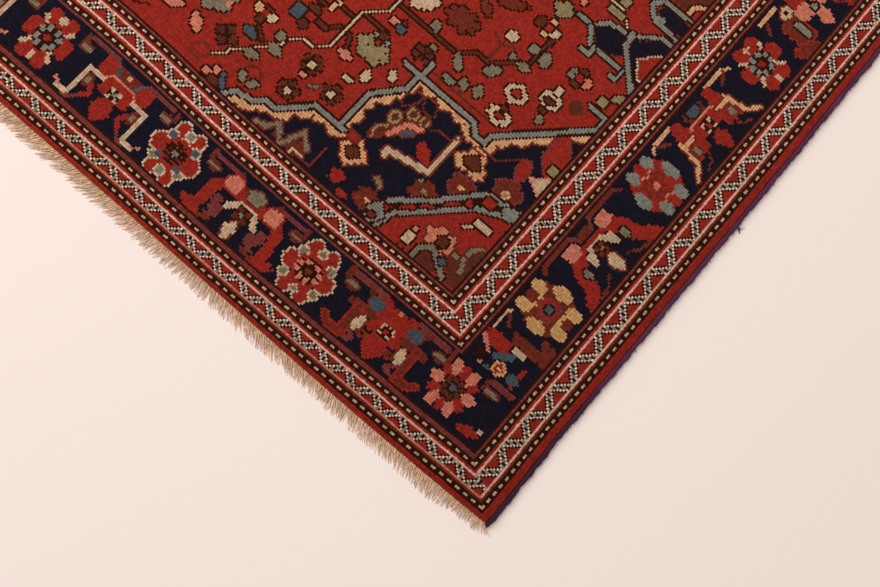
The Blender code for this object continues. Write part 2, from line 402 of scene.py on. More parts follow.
FIELD_CHART = """
line brown dark 3 414,346 336,346 322,362 303,362 282,385; 3 273,387 272,428; 3 459,303 440,303; \
    3 436,313 404,313; 3 469,274 453,274 444,286 430,284 424,272; 2.5 508,230 490,217; \
    3 517,196 508,196
line brown 2.5 342,313 262,313; 3.5 308,397 308,365
thread brown 322,393 308,385 295,393
thread cream dark 519,173 509,184 509,190 475,230 475,238 461,251 449,251 438,262 438,314 417,334 \
    417,372 400,390 400,430 380,450 380,500 350,530; 255,505 238,506 218,489
disc sage dark 482,236 5
leaf sage dark 477,221 10,6 10; 491,201 10,5 170
leaf blue dark 508,217 10,5 10
petals brown dark 523,198 15,14 4 0.3 0; 438,236 14,13 5 0.25 0; 438,199 14,13 5 0.25 0; \
    402,225 14,13 5 0.25 0; 361,321 14,13 6 0.2 0
box cream dark 438,235 4; 438,197 4,3; 402,224 4,3
box pink dark 438,220 4,3; 505,163 3.5,5; 511,155 4.5,4; 406,328 4.5,4; 275,484 3.5
disc cream dark 401,249 6,3; 501,244 5,5.5
line sage brown 2.8 424,217 417,221
disc camel dark 519,244 5,5.5
disc brown dark 510,236 5; 476,282 7,4; 475,262 6,5
line brown dark 2.6 516,250 505,250
disc red 510,244 3.5,4
disc brown 475,184 11,10.5
disc red 475,184 8.6,8
leaf sage dark 482,178 8,4 45; 468,178 8,4 135; 372,355 8,5 55; 329,340 12,5 50; 309,326 7,5 45; \
    324,319 9,4 0; 297,357 10,6 130; 293,330 8,6 80
box brown dark 500,154 6,4
line blue dark 5 497,165 488,153
petals brick 532,167 11 5 0.35 0
petals red 532,167 8 5 0.35 0
thread dark 605,173 602,167 609,161 616,158
flower sage dark 560,226 22 6 0.2 0
disc pink 544,224 3,4
leaf pink dark 555,186 12,6 45; 587,186 12,6 155
box camel dark 463,304 4,3.5; 464,296 2.6,5; 284,444 4,3.5; 284,427 4,3.5
line brown dark 2.5 480,293 469,292.5
box red dark 475,272 5.5,4
box blue dark 487,268 6,8; 396,327 4.5,4
flower pink dark 420,266 10,5 4 0.3 0
flower olive dark 403,290 21,15 6 0.3 0.5; 285,462 11 4 0.35 0
disc dark 410,291 1.3
box brown dark 404,307 5; 231,360 4.5,3.5
disc grey dark 411,305 2.6; 396,305 2.6
box red dark 404,299 3
leaf cream dark 369,282 8,4 65; 389,263 8,5 75; 397,367 18,8 135
disc brown dark 397,334 3,2.4
box red 358,311 4.2,3
disc sage dark 358,334 4.4,2.6; 233,414 4.6,6; 291,384 3.4,4
disc brown 307,318 3
flower cream dark 262,355 13,12 6 0.2 0; 260,325 15,10 6 0.2 0; 231,375 13,10 4 0.2 0.5; \
    306,401 7,6.5 6 0.15 0
disc red dark 262,356 5,3.5; 260,325 5,3
disc brown dark 260,335 4.5,2.2; 231,373 5.5,3.5; 224,423 5.4,3; 224,406 5.6,3.6; 295,435 5,6.5
leaf sage dark 227,350 6,4 60; 263,404 10,7 75; 276,383 8,5 170
box cream dark 231,388 3.5,4
petals brown 206,387 9 6 0.2 0
disc pink dark 214,415 4.8,6
disc red dark 224,414 4.6,4
box sage dark 280,407 5
disc cream dark 275,434 5.4,6
box red dark 284,435 4
leaf brick dark 346,406 11,5 35; 329,429 18,6 150
flower brick dark 356,379 21,14 8 0.4 0.5
area brown 171,551 230,551 230,590 210,606 171,606
box red dark 175,559 6,7.5
line camel dark 5 185,551 185,562 171,571
box navy brick 190,532 19,8
line grey dark 4.5 170,547 211,545 221,534 208,521 170,518
disc grey 202,525 6,4
area navy brick 171,510 190,505 210,484 204,468 171,440
line grey dark 4.5 170,511 188,510 216,487
area red cream 171,449 193,473 171,497
disc navy brick 226,470 20,14
line grey dark 5 270,470 252,470 240,485 218,487; 5 253,468 240,452 198,452; \
    6 214,492 211,476 171,436; 4.5 235,451 235,441 245,441; 4.5 196,451 196,439 203,438
box olive dark 242,515 5; 242,499 9,4; 190,411 5.5,6
leaf olive dark 177,426 10,5 140
"""
# The middle is out of sight, so it is plain: a stepped medallion, its pendant, a few sprays
MEDALLION = ("652,590 636,604 636,628 620,644 620,676 600,690 570,694 556,716 552,748 516,758 "
             "500,784 496,820 462,832 444,858 440,900 412,920 400,950 398,1011")
PENDANT = "652,500 628,520 620,545 628,570 652,590"
MIDDLE_CHART = f"""
area navy brick {MEDALLION} 652,1011
line camel brick 7 652,604 644,612 644,634 629,650 629,683 606,699 576,703 565,720 561,756 523,766 \
    508,788 505,827 469,840 452,862 449,905 420,926 408,954 407,1011
line grey dark 5 {MEDALLION}
area red brick 652,760 622,772 608,796 580,806 566,836 540,852 530,884 506,902 500,950 496,1011 \
    652,1011
line sage brick 4 652,770 626,781 612,805 586,815 573,843 548,858 538,890 515,908 509,954 505,1011
petals red:0.9/pink dark 651,690 30,34 12 0.18 0
petals cream brown 651,690 14,15 8 0.2 0.5
petals brown dark 590,750 20 8 0.2 0.5; 480,905 20,22 8 0.2 0.5
flower cream dark 590,750 9 4 0.2 0.5
flower pink dark 480,905 9,10 4 0.2 0.5
petals brick brown 445,970 17 8 0.2 0.5
petals navy:0.9/brick dark 651,1010 84,96 16 0.16 0
petals cream/pink dark 651,1010 46,50 12 0.18 0
petals brown dark 651,1010 22,24 8 0.2 0.5
thread cream dark 651,850 620,862 600,884 590,920 560,940 550,980 550,1011; 350,530 350,560 \
    330,580 330,640 350,660 350,720 320,750 320,820 300,840 300,900 320,920 320,1011
flower sage dark 620,862 12
flower cream dark 572,932 12
area navy brick {PENDANT}
line grey dark 5 {PENDANT}
flower camel dark 651,545 14,18 8 0.2 0.5; 560,340 12; 230,940 13
line brown dark 3 350,560 400,560 430,590 430,650; 3 330,640 280,640 260,660 260,720; \
    3 350,720 400,720 420,740; 3 320,820 260,820 240,850; 3 417,400 480,400 520,440 570,440; \
    3 520,440 520,500 490,530
flower cream dark 430,655 15; 240,852 14; 570,440 15
flower red dark 430,655 6 4 0.2 0.5; 570,440 6 4 0.2 0.5
petals brown dark 400,560 12; 245,590 13; 620,400 16; 460,590 12; 500,690 13; 370,820 13
flower pink dark 260,722 14; 620,290 12; 210,660 10
flower brick dark 420,742 15; 490,530 14
flower olive dark 300,900 12
flower sage dark 285,640 10; 470,360 10; 560,560 12; 210,760 12
flower cream dark 620,400 7 4 0.2 0.5; 470,450 10; 560,640 12; 370,950 12
"""

# ---- the weave's place on the rug ----------------------------------------------------------

def side_inset(y, side):
    """How far a long side lies inside the nominal width at y, as in the frame."""
    return SIDE_WAVER * (1.0 - np.cos(TAU * SIDE_WAVES * y / RUG_LENGTH + SIDE_PHASES[side]))


def end_inset(x, end):
    """How far the knotted body's end lies inside the nominal length at x, as in the frame."""
    wave = END_WAVER * (1.0 - np.cos(TAU * END_WAVES * x / RUG_WIDTH + END_PHASES[end]))
    return wave + CORNER_TUCK * np.exp(-(RUG_WIDTH / 2 - np.abs(x)) / CORNER_TUCK_REACH)


def swing(y, side):
    """How far a long side swings out at y; the left one does so from its far corner."""
    return np.interp(side * y / MM + CHART_Y, SWING_PLACES, SWING) * MM


def side_edge(y, side, inwards=0.0):
    """x of a long side's outer edge, moved inwards."""
    return side * (RUG_WIDTH / 2 - side_inset(y, side) + swing(y, side) - inwards)


def end_edge(x, end, outwards=0.0):
    """y of the knotted body's end, moved outwards."""
    return end * (RUG_LENGTH / 2 - end_inset(x, end) + outwards)


def row_height(row):
    """Chart height of a row's edge or middle, in the near half."""
    return np.interp(row, ROW_MARKS, ROW_HEIGHTS)


def column_place(column):
    """Chart distance of a column's edge or middle from the right."""
    near = np.interp(np.minimum(column, KNOTS_X - column), COLUMN_MARKS, COLUMN_PLACES)
    return np.where(column <= HALF_X, near, 2 * CHART_X - near)


def rows_to_y(columns, rows):
    """y of the weave at each pair of column and row, in metres; it drifts as handwork does."""
    near = rows <= HALF_Y
    end = np.where(near, -1, 1)
    row = np.where(near, rows, KNOTS_Y - rows)
    from_right = column_place(columns)
    along = np.minimum(from_right, 2 * CHART_X - from_right)
    share = np.where(near, np.where(from_right < CHART_X, 1.0, NEAR_LEFT_SHARE), FAR_SHARE)
    outer = np.interp(along, DRIFT_PLACES, DRIFT_OUTER) * share
    inner = np.interp(along, DRIFT_PLACES, DRIFT_INNER) * share
    outer_weight = np.interp(row, OUTER_ROWS, OUTER_SHARES)
    inner_weight = np.interp(row, INNER_ROWS, INNER_SHARES)
    height = row_height(row) + outer * outer_weight + inner * inner_weight
    x = (CHART_X - from_right) * MM
    inset = np.where(near, end_inset(x, -1), end_inset(x, 1))
    inset = inset * np.interp(row, (0, WAVER_ROWS), (1, 0))
    return end * (RUG_LENGTH / 2 - (height - ROW_HEIGHTS[0]) * MM - inset)


def columns_to_x(columns, rows):
    """x of the weave at each pair of column and row, in metres."""
    right = columns <= HALF_X
    column = np.where(right, columns, KNOTS_X - columns)
    y = rows / KNOTS_Y * RUG_LENGTH - RUG_LENGTH / 2
    height = (y / MM) + CHART_Y
    share = np.where(right, 1.0, LEFT_SHARE)
    drift = np.interp(height, SIDE_DRIFT_PLACES, SIDE_DRIFT) * share
    weight = np.interp(column, SIDE_COLUMNS, SIDE_SHARES)
    from_middle = (CHART_X - column_place(column) - drift * weight) * MM
    edge = np.interp(column, (0, WAVER_COLUMNS), (1, 0))
    right_inset, left_inset = (side_inset(y, side) - swing(y, side) for side in (1, -1))
    inset = np.where(right, right_inset, left_inset) + GAP
    ragged = RAGGED * (2 - np.sin(61 * y) - np.sin(157 * y + 1.0))
    over = (PILE_OVER_CORD - ragged) * np.interp(column, (0, LAP_COLUMNS), (1, 0))
    return np.where(right, 1, -1) * (from_middle - inset * edge + over)


# ---- the chart -----------------------------------------------------------------------------

def corners(words):
    """Pairs of numbers as an array; a single number stands for two equal ones."""
    return np.array([[float(n) for n in (word.split(",") * 2)[:2]] for word in words])


def inside(u, v, points):
    """Which knots lie in a closed outline."""
    found = np.zeros(u.shape, bool)
    for (u0, v0), (u1, v1) in zip(points, np.roll(points, -1, axis=0)):
        if v0 != v1:
            crosses = (v0 > v) != (v1 > v)
            found ^= crosses & (u < (u1 - u0) * (v - v0) / (v1 - v0) + u0)
    return found


def rounded(u, v, centre, sizes, power):
    """A diamond, disc or box, as the power grows."""
    return abs((u - centre[0]) / sizes[0]) ** power + abs((v - centre[1]) / sizes[1]) ** power <= 1


def leaf(u, v, centre, sizes, turn):
    """A leaf with two points, turned from the first axis towards the second."""
    c, s = math.cos(math.radians(turn)), math.sin(math.radians(turn))
    du, dv = u - centre[0], v - centre[1]
    return abs(dv * c - du * s) / sizes[1] <= 1 - ((du * c + dv * s) / sizes[0]) ** 2


def to_line(u, v, points):
    """Distance of each knot from a broken line, and how far along it that is."""
    best, along, walked = np.full(u.shape, 1e9), np.zeros(u.shape), 0.0
    for (u0, v0), (u1, v1) in zip(points, points[1:]):
        du, dv = u1 - u0, v1 - v0
        length = math.hypot(du, dv)
        share = np.clip(((u - u0) * du + (v - v0) * dv) / length ** 2, 0.0, 1.0)
        distance = np.hypot(u - u0 - share * du, v - v0 - share * dv)
        along = np.where(distance < best, walked + share * length, along)
        best = np.minimum(best, distance)
        walked += length
    return best, along


def single_knots(u, v, points):
    """A broken line one knot thick, its knots touching by their corners where it slants."""
    shape = np.zeros(u.shape, bool)
    for start, end in zip(points, points[1:]):
        count = round(max(abs(end - start) / (COLUMN_PITCH, ROW_PITCH))) + 1
        for pu, pv in np.linspace(start, end, count):
            shape |= (abs(u - pu) * 2 < COLUMN_PITCH) & (abs(v - pv) * 2 < ROW_PITCH)
    return shape


def grown(mask):
    """The mask and one knot more on each side."""
    out = mask.copy()
    out[1:] |= mask[:-1]
    out[:-1] |= mask[1:]
    out[:, 1:] |= mask[:, :-1]
    out[:, :-1] |= mask[:, 1:]
    return out


def around(u, v, centre, sizes, count, lobe, phase):
    """Radius, petal, place across the petal and the rim's radius, for a round flower."""
    du, dv = (u - centre[0]) / sizes[0], (v - centre[1]) / sizes[1]
    turn = np.arctan2(du, dv) / TAU * count - phase
    petal = np.round(turn)
    return np.hypot(du, dv), petal, turn - petal, 1.0 - lobe * (2 * (turn - petal)) ** 2


def petals(chart, zone, u, v, dyes, edge, centre, sizes, count, lobe, phase):
    """A round flower of equal petals, the first at the top, their dyes in turn."""
    radius, petal, off, rim = around(u, v, centre, sizes, count, lobe, phase)
    size = sum(sizes) / 2
    for i, dye in enumerate(dyes):
        dye, _, reach = dye.partition(":")
        own = zone & (petal % len(dyes) == i) & (radius < rim * float(reach or 1))
        chart[own] = DYE[dye]
        if edge:
            to_gap = radius * size * np.abs(np.sin((0.5 - np.abs(off)) * TAU / count))
            to_rim = (rim - radius) * size
            chart[own & ((to_gap < PETAL_GAP) | (to_rim < PETAL_RIM))] = DYE[edge]


def find_shape(kind, u, v, words):
    """Which knots one shape of a motif covers."""
    if kind == "area":
        return inside(u, v, corners(words))
    if kind == "thread":
        return single_knots(u, v, corners(words))
    if kind == "line":
        return to_line(u, v, corners(words[1:]))[0] <= float(words[0]) / 2
    if kind == "leaf":
        return leaf(u, v, *corners(words[:2]), float(words[2]))
    if kind == "flower":
        radius, _, _, rim = around(u, v, *corners(words[:2]), *map(float, words[2:] or PLAIN))
        return radius <= rim
    return rounded(u, v, *corners(words), {"diamond": 1, "disc": 2, "box": 8}[kind])


def stays_even(kind, words):
    """Lines and small shapes keep an even rim, because the weave could not show more."""
    return kind in ("thread", "line") or (
        kind != "area" and max(corners(words[:2])[1]) < EVEN_BELOW)


def work(chart, zone, u, v, text):
    """Knot every shape of a motif's text into the chart, its rims uneven as handwork is."""
    even = u, v
    uneven = (u + RIM_TEETH * np.sin(1.9 * v + 0.7 * u), v + RIM_TEETH * np.sin(1.7 * u + 0.4 * v))
    for row in text.strip().splitlines():
        kind, dyes, *numbers = row.split()
        edge = numbers.pop(0) if numbers[0] in DYE else None
        for words in map(str.split, " ".join(numbers).split(";")):
            if kind == "petals":
                petals(chart, zone, *uneven, dyes.split("/"), edge,
                       *corners(words[:2]), *map(float, words[2:] or PLAIN))
                continue
            place = even if stays_even(kind, words) else uneven
            shape = find_shape(kind, *place, words) & zone
            if edge:
                chart[grown(shape) & zone] = DYE[edge]
            chart[shape] = DYE[dyes]


def zigzag(along, across, wide, period, start):
    """A dotted ribbon that runs to and fro between two lines, with triangles beside it."""
    tri = np.abs((along + start) % period - period / 2)
    middle = tri - (period / 2 - (wide - 1)) / 2
    off = np.abs(across - np.floor(middle + 1e-6) - 0.5)
    dye = np.full(along.shape, DYE["red"])
    dye[off < 3] = DYE["dark"]
    dye[off < 2] = DYE["white"]
    dye[off < 1] = np.where(along % 2 == 0, DYE["grey"], DYE["dark"])[off < 1]
    return dye


def work_bands(chart, column, row):
    """The borders' stripes, each a frame inside the one before."""
    for band, after in zip(BANDS, (*BANDS[1:], None)):
        first_column, first_row, dye = band
        zone = (column >= first_column) & (row >= first_row)
        if dye == "dash":
            upright = column == first_column
            step = np.where(upright, row - first_row, column - first_column)
            chart[zone] = np.where(step % DASH < DASH / 2, DYE["cream"], DYE["dark"])[zone]
        elif dye == "zigzag":
            periods = OUTER_ZIGZAG if first_column < MAIN_BORDER[0][0] else INNER_ZIGZAG
            ways = ((zone, row, column - first_column, after[0] - first_column),
                    (zone & (row < after[1]), column, row - first_row, after[1] - first_row))
            for way, period, start in zip(ways, periods, ZIGZAG_STARTS):
                chart[way[0]] = zigzag(*way[1:], period, start)[way[0]]
        elif dye == "line":
            chart[zone] = DYE["blush"]
            if band == FIRST_LINE:
                chart[zone & (row == first_row)] = DYE["pink"]
        else:
            chart[zone] = DYE[dye]


def work_border(chart, a, b, zone):
    """Rosettes and palmettes in turn along the main border."""
    for motifs, along, inwards, near in (
            (END_MOTIFS, a, b - END_MIDDLE, zone & (b < BORDER_TURN)),
            (SIDE_MOTIFS, b, a - SIDE_MIDDLE, zone & (b > BORDER_TURN))):
        for motif, place in motifs:
            off = np.abs(along - place)
            work(chart, near & (off < MOTIF_REACH), off, inwards, motif)
    work(chart, zone, a, b, BUDS)


def work_corner(chart, a, b, field):
    """The dark corner ground, banded along the line that parts it from the field."""
    ground = field & inside(a, b, CORNER_LINE + CORNER_BACK)
    distance, along = to_line(a, b, CORNER_LINE)
    scallop = np.abs(np.sin(math.pi * along / SCALLOP_PITCH))
    band = ground & (distance < CAMEL_WIDTH + SCALLOP_DEPTH * scallop)
    chart[ground] = DYE["navy"]
    chart[grown(band) & ground] = DYE["brick"]
    chart[band] = DYE["camel"]
    work(chart, ground, a, b, CORNER_CHART)
    distance = np.minimum.reduce([to_line(a, b, line)[0] for line in (CORNER_LINE, *CORNER_TWIGS)])
    chart[field & (distance < LINE_EDGE)] = DYE["dark"]
    chart[field & (distance < LINE_HALF)] = DYE["grey"]


def weave_chart():
    """The dye number of every knot, row by row from the near end and from the right."""
    row, column = np.mgrid[0:HALF_Y, 0:HALF_X]
    a, b = column_place(column + 0.5), row_height(row + 0.5)
    chart = np.full(row.shape, DYE["red"])
    work_bands(chart, column, row)
    (first_column, first_row), (after_column, after_row) = MAIN_BORDER
    in_border = (column >= first_column) & (row >= first_row)
    in_border &= ~((column >= after_column) & (row >= after_row))
    work_border(chart, a, b, in_border)
    field = (column >= FIELD_START[0]) & (row >= FIELD_START[1])
    work(chart, field, a, b, MIDDLE_CHART)
    work(chart, field, a, b, FIELD_CHART)
    work_corner(chart, a, b, field)
    chart = np.hstack([chart, chart[:, ::-1]])
    return np.vstack([chart, chart[::-1]])


# ---- materials -----------------------------------------------------------------------------

# How far the wool's shade varies: at all, from knot to knot (its own tone and partly a painted
# highlight), by batch of dye, in streaks, in fuzz
SHADE, KNOT_TONE_AND_HIGHLIGHT, BATCH_SHADE, STREAK_SHADE, FUZZ_SHADE = 0.55, 0.46, 0.30, 0.20, 0.30
# Painted light of a tuft: its shade in its hollow, and the highlight its dome adds; and both for a
# knot that stands apart
HOLLOW_SHADE, DOME_HIGHLIGHT = 0.70, 0.48
APART_HOLLOW_SHADE, APART_DOME_HIGHLIGHT = -0.45, 0.62
KNOT_WANDER = 0.9              # how far a knot's rim wanders, in knots
# Scales of the noises: that wander across and along, batches and streaks by knots, fuzz
ACROSS_SCALE, ALONG_SCALE, FUZZ_SCALE = 420.0, 390.0, 2600.0
BATCH_SCALE, STREAK_SCALE = (0.004, 0.045, 1.0), (0.06, 0.9, 1.0)
RIM_KNOT = 0.4                 # the chart's outermost knots are read this far inside their rim, so the rug's walls get a tuft's painted highlight, not its hollow's painted shade
# The pile is darker at its corners and lighter towards its middle: its light at a corner, more per
# metre, and how far
CORNER_LIGHT, LIGHTENING, LIGHTENING_REACH = 0.83, 0.32, 1.1
# The cords darken towards the rug's ends: where that starts, from the rug's middle, and over what
# length
DARKENING_START, DARKENING_LENGTH = 815 * MM, 50 * MM


class Nodes:
    """Short calls for building a material's nodes."""

    def __init__(self, name):
        self.material = bpy.data.materials.new(name)
        self.material.use_nodes = True
        self.tree = self.material.node_tree
        self.shader = self.tree.nodes["Principled BSDF"]

    def feed(self, socket, value):
        if isinstance(value, bpy.types.NodeSocket):
            self.tree.links.new(value, socket)
        else:
            socket.default_value = value

    def add(self, kind, *values, out=0, named=None, **settings):
        """A node with its settings; values feed its sockets in turn, named ones by name."""
        node = self.tree.nodes.new(kind)
        for key, value in settings.items():
            setattr(node, key, value)
        for socket, value in (*enumerate(values), *(named or {}).items()):
            self.feed(node.inputs[socket], value)
        return node.outputs[out]

    def math(self, operation, *values, clamp=False):
        return self.add("ShaderNodeMath", *values, operation=operation, use_clamp=clamp)

    def limited(self, value, low, high):
        return self.math("MINIMUM", self.math("MAXIMUM", value, low), high)

    def place(self):
        """Where the point lies on the rug."""
        return self.add("ShaderNodeTexCoord", out=3)

    def parts(self, vector):
        """x, y and z of a vector."""
        return self.add("ShaderNodeSeparateXYZ", vector).node.outputs

    def scaled(self, vector, by):
        return self.add("ShaderNodeVectorMath", vector, by, operation="MULTIPLY")

    def noise(self, vector, scale, detail=2.0, roughness=0.5):
        return self.add("ShaderNodeTexNoise", named={
            "Vector": vector, "Scale": scale, "Detail": detail, "Roughness": roughness})

    def lightened(self, colour, by):
        """The colour, lighter where the number is above 1 and darker where it is below."""
        return self.add("ShaderNodeHueSaturation", named={"Color": colour, "Value": by})

    def bump(self, height, strength, distance):
        named = {"Strength": strength, "Distance": distance, "Height": height}
        self.feed(self.shader.inputs["Normal"], self.add("ShaderNodeBump", named=named))

    def finish(self, colour, roughness, sheen=0.0, gloss=0.25):
        self.feed(self.shader.inputs["Base Color"], colour)
        self.shader.inputs["Roughness"].default_value = roughness
        self.shader.inputs["Specular IOR Level"].default_value = gloss
        self.shader.inputs["Sheen Weight"].default_value = sheen
        self.shader.inputs["Sheen Roughness"].default_value = 0.5
        return self.material


def find_knot(n, along, wander, knots, block):
    """First knot of a block, which of its knots this is, and the place across that knot."""
    along = n.limited(along, RIM_KNOT, knots - RIM_KNOT)
    start = n.math("MULTIPLY", n.math("FLOOR", n.math("DIVIDE", along, block)), block)
    local = n.math("MULTIPLY_ADD", n.math("SUBTRACT", wander, 0.5), KNOT_WANDER,
                   n.math("SUBTRACT", along, start))
    local = n.limited(local, 0.001, block - 0.001)
    knot = n.math("FLOOR", local)
    return start, knot, n.math("SUBTRACT", local, knot)


def dye_ramp(n, number, dyes):
    """The colour of a dye number; its alpha says how much more painted shade and highlight such
    knots get.
    """
    ramp = n.tree.nodes.new("ShaderNodeValToRGB")
    ramp.color_ramp.interpolation = "CONSTANT"
    while len(ramp.color_ramp.elements) < len(dyes):
        ramp.color_ramp.elements.new(1.0)
    for i, colour in enumerate(dyes):
        ramp.color_ramp.elements[i].position = i / len(dyes)
        ramp.color_ramp.elements[i].color = (*colour, APART if i == DYE["white"] else 0.0)
    n.feed(ramp.inputs["Fac"], n.math("DIVIDE", n.math("ADD", number, 0.5), len(dyes)))
    return ramp.outputs["Color"], ramp.outputs["Alpha"]


def pile_material(dyes):
    """Wool knots: each face's packed dye numbers are read back for the knot at that place."""
    n = Nodes("knotted_wool")
    place = n.place()
    uv = n.add("ShaderNodeUVMap", uv_map="knots")
    u, v, _ = n.parts(uv)
    wander = n.noise(place, ACROSS_SCALE, 1.0)
    start_u, knot_u, part_u = find_knot(n, u, wander, KNOTS_X, BLOCK_X)
    wander = n.noise(n.scaled(place, (-1, 1, 1)), ALONG_SCALE, 1.0)
    start_v, knot_v, part_v = find_knot(n, v, wander, KNOTS_Y, BLOCK_Y)
    value = 0.0
    for i, row in enumerate(n.parts(n.add("ShaderNodeAttribute", attribute_name="chart", out=1))):
        value = n.math("MULTIPLY_ADD", row, n.math("COMPARE", knot_v, float(i), 0.5), value)
    digit = n.math("DIVIDE", n.math("ADD", value, 0.5), n.math("POWER", 16.0, knot_u))
    number = n.math("MODULO", n.math("FLOOR", digit), 16.0)
    colour, apart = dye_ramp(n, number, dyes)
    # one yarn is lighter than the next, by its own tone and partly by a painted highlight; one
    # batch of dye than another
    cell = n.add("ShaderNodeCombineXYZ", n.math("ADD", start_u, knot_u),
                 n.math("ADD", start_v, knot_v), 0.0)
    yarn = n.add("ShaderNodeTexWhiteNoise", cell, noise_dimensions="3D")
    batch = n.noise(n.scaled(uv, BATCH_SCALE), 1.0, 3.0)
    streak = n.noise(n.scaled(uv, STREAK_SCALE), 1.0, 1.0)
    light = n.math("MULTIPLY_ADD", yarn, KNOT_TONE_AND_HIGHLIGHT, SHADE)
    light = n.math("MULTIPLY_ADD", batch, BATCH_SHADE, light)
    light = n.math("MULTIPLY_ADD", streak, STREAK_SHADE, light)
    # a tuft is domed: painted highlight on its top, painted shade where it meets its neighbours
    dome = []
    for part in (part_u, part_v):
        edge = n.math("ABSOLUTE", n.math("MULTIPLY_ADD", part, 2.0, -1.0))
        dome.append(n.math("SUBTRACT", 1.0, n.math("POWER", edge, 3.0)))
    dome = n.math("MULTIPLY", *dome)
    light = n.math("MULTIPLY", light, n.math(
        "MULTIPLY_ADD", dome, n.math("MULTIPLY_ADD", apart, APART_DOME_HIGHLIGHT, DOME_HIGHLIGHT),
        n.math("MULTIPLY_ADD", apart, APART_HOLLOW_SHADE, HOLLOW_SHADE)))
    fuzz = n.noise(place, FUZZ_SCALE, 3.0, 0.7)
    light = n.math("MULTIPLY", light,
                   n.math("MULTIPLY_ADD", fuzz, FUZZ_SHADE, 1.0 - FUZZ_SHADE / 2))
    # darker at the corners, lighter towards the middle
    across, along = (n.math("ABSOLUTE", part) for part in n.parts(place)[:2])
    from_corner = n.math("SUBTRACT", (RUG_WIDTH + RUG_LENGTH) / 2, n.math("ADD", across, along))
    light = n.math("MULTIPLY", light, n.math(
        "MULTIPLY_ADD", n.math("MINIMUM", from_corner, LIGHTENING_REACH), LIGHTENING, CORNER_LIGHT))
    n.bump(n.math("MULTIPLY_ADD", fuzz, 0.35, dome), 0.55, 0.5 * MM)
    return n.finish(n.lightened(colour, light), 0.95, 0.02, 0.05)


def yarn_material(name, colour, spread, scale, bump_scale, sheen=0.1, end_light=1.0, run=1.0):
    """Plain spun yarn: its shade wanders, its fibres stand out, and where asked it darkens towards
    the rug's ends.
    """
    n = Nodes(name)
    place = n.place()
    wander = n.noise(n.scaled(place, (1.0, run, 1.0)), scale, 3.0)
    fibre = n.noise(n.scaled(place, (1.0, 0.35, 1.0)), bump_scale, 3.0, 0.7)
    light = n.math("MULTIPLY_ADD", wander, spread, 1.0 - spread / 2)
    light = n.math("MULTIPLY", light, n.math("MULTIPLY_ADD", fibre, 0.5, 0.75))
    if end_light < 1.0:
        from_middle = n.math("ABSOLUTE", n.parts(place)[1])
        away_from_ends = n.math("MULTIPLY_ADD", from_middle, -1.0 / DARKENING_LENGTH,
                       (DARKENING_START + DARKENING_LENGTH) / DARKENING_LENGTH, clamp=True)
        light = n.math("MULTIPLY", light, n.math("MULTIPLY_ADD", away_from_ends, 1.0 - end_light, end_light))
    n.bump(fibre, 0.5, 0.3 * MM)
    return n.finish(n.lightened((*colour, 1.0), light), 0.9, sheen)


def floor_material(colour):
    """A smooth pale ground with the faintest clouds and grain."""
    n = Nodes("pale_floor")
    place = n.place()
    light = n.math("MULTIPLY_ADD", n.noise(place, 1.3, 2.0), 0.02, 0.985)
    light = n.math("MULTIPLY_ADD", n.noise(place, 700.0, 2.0), 0.012, light)
    return n.finish(n.lightened((*colour, 1.0), light), 0.8)


# ---- pieces --------------------------------------------------------------------------------

def dismiss_selection():
    """Deselect everything, because an operator acts on all that is selected."""
    for thing in bpy.context.selected_objects:
        thing.select_set(False)


def hand_over(piece, node):
    """The piece rides on the rug and stands for a CAD node, which it hides."""
    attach(piece, "root")
    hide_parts(node)


def points_of(*coordinates):
    """x, y and z, each spread over the same rings, as one list of points."""
    return np.stack(np.broadcast_arrays(*coordinates), axis=-1).reshape(-1, 3)


def tube_faces(stations, sides):
    """Quads of one tube whose rings follow each other, without its ends."""
    ring, side = np.mgrid[0:stations - 1, 0:sides]
    a = ring * sides + side
    b = ring * sides + (side + 1) % sides
    return np.stack([a, b, b + sides, a + sides], axis=-1).reshape(-1, 4)


def strands(x, y, z, radius, sides):
    """Thin tubes, one for each row of the arrays, their rings square to their run."""
    dx, dy = np.gradient(x, axis=1), np.gradient(y, axis=1)
    length = np.hypot(dx, dy)
    turn = (np.arange(sides) + 0.5) / sides * TAU
    off = radius[..., None] * np.cos(turn)
    points = points_of(x[..., None] - off * (dy / length)[..., None],
                       y[..., None] + off * (dx / length)[..., None],
                       z[..., None] + radius[..., None] * np.sin(turn))
    count, stations = x.shape
    firsts = np.arange(count)[:, None, None] * stations * sides
    return points, (tube_faces(stations, sides)[None] + firsts).reshape(-1, 4)


def close_ends(piece):
    """Cap open rings of a tube and turn all faces outwards."""
    dismiss_selection()
    bpy.context.view_layer.objects.active = piece
    piece.select_set(True)
    bpy.ops.object.mode_set(mode="EDIT")
    bpy.ops.mesh.select_mode(type="VERT")
    bpy.ops.mesh.select_all(action="DESELECT")
    bpy.ops.mesh.select_non_manifold(extend=False, use_multi_face=False,
                                     use_non_contiguous=False, use_verts=False)
    bpy.ops.mesh.fill_holes(sides=0)
    bpy.ops.mesh.select_all(action="SELECT")
    bpy.ops.mesh.normals_make_consistent(inside=False)
    bpy.ops.object.mode_set(mode="OBJECT")
    piece.select_set(False)


def edge_piece(name, tubes, material, node):
    """One smooth piece of two sets of tubes, each given as points and quads."""
    (points, quads), (more_points, more_quads) = tubes
    mesh = bpy.data.meshes.new(name)
    mesh.from_pydata(np.vstack([points, more_points]).tolist(), [],
                     np.vstack([quads, more_quads + len(points)]).tolist())
    mesh.materials.append(material)
    mesh.polygons.foreach_set("use_smooth", [True] * len(mesh.polygons))
    mesh.update()
    piece = bpy.data.objects.new(name, mesh)
    bpy.context.scene.collection.objects.link(piece)
    close_ends(piece)
    hand_over(piece, node)


def read(items, name, kind, count):
    """One value of every item of a mesh, or several, as rows of an array."""
    values = np.zeros(len(items) * count, kind)
    items.foreach_get(name, values)
    return values.reshape(-1, count) if count > 1 else values


